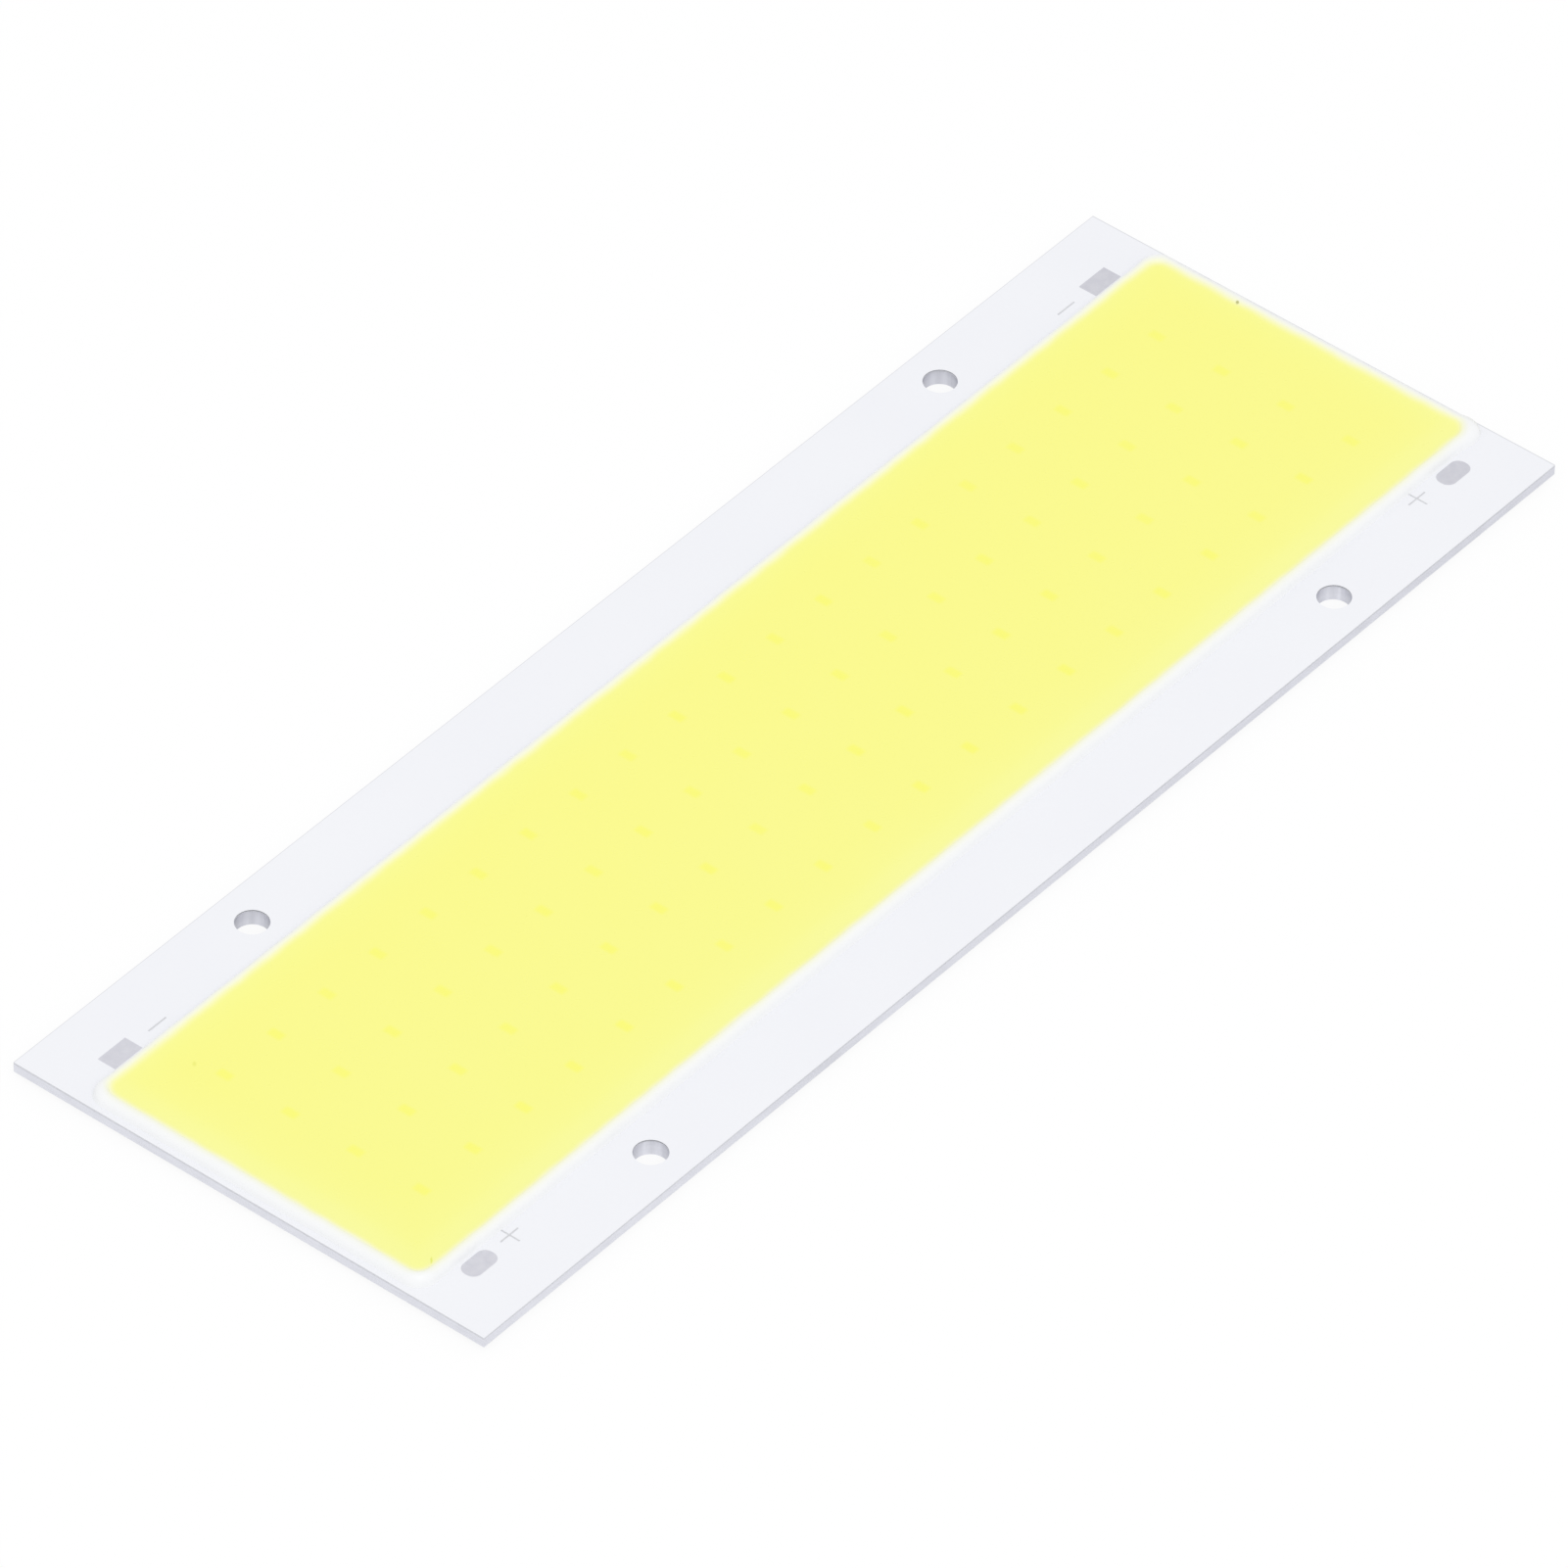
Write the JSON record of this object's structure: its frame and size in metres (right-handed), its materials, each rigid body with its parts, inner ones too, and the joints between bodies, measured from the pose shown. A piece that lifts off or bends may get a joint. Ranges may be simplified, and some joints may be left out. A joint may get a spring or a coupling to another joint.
{
  "type": "chip-on-board led light panel",
  "caption": "Flat rectangular chip-on-board LED light panel: white aluminium-core board, yellow phosphor field inside a white silicone dam, solder pads at both ends and screw holes.",
  "frame": {"origin": "centre of the board's underside", "axes": "+X along the board, -Y towards the edge with the plus pads, +Z out of the lit face"},
  "size_m": [0.14, 0.05, 0.0026],
  "materials": {
    "aluminium": "rolled sheet, scored edges, drilled holes",
    "dielectric": "filled epoxy",
    "copper": "etched copper foil",
    "solder_mask": "satin white ink",
    "tin": "levelled tin",
    "marking_ink": "thin grey print",
    "die_attach": "cured adhesive",
    "chip": "sawn sapphire",
    "gold": "drawn gold wire",
    "dam_silicone": "white silicone, dispensed bead",
    "phosphor_silicone": "smooth yellow silicone"
  },
  "bodies": {
    "root": {"aluminium_base": "aluminium", "dielectric_layer": "dielectric", "plus_bus": "copper", "series_rail_1": "copper", "series_rail_2": "copper", "series_rail_3": "copper", "minus_bus": "copper", "solder_mask": "solder_mask", "plus_pad_tin": "tin", "minus_pad_tin": "tin", "plus_marks": "marking_ink", "minus_marks": "marking_ink", "die_attach_row_1": "die_attach", "die_attach_row_2": "die_attach", "die_attach_row_3": "die_attach", "die_attach_row_4": "die_attach", "led_chips_row_1": "chip", "led_chips_row_2": "chip", "led_chips_row_3": "chip", "led_chips_row_4": "chip", "bond_wires_row_1": "gold", "bond_wires_row_2": "gold", "bond_wires_row_3": "gold", "bond_wires_row_4": "gold", "silicone_dam": "dam_silicone", "phosphor_fill": "phosphor_silicone"}
  },
  "joints": []
}
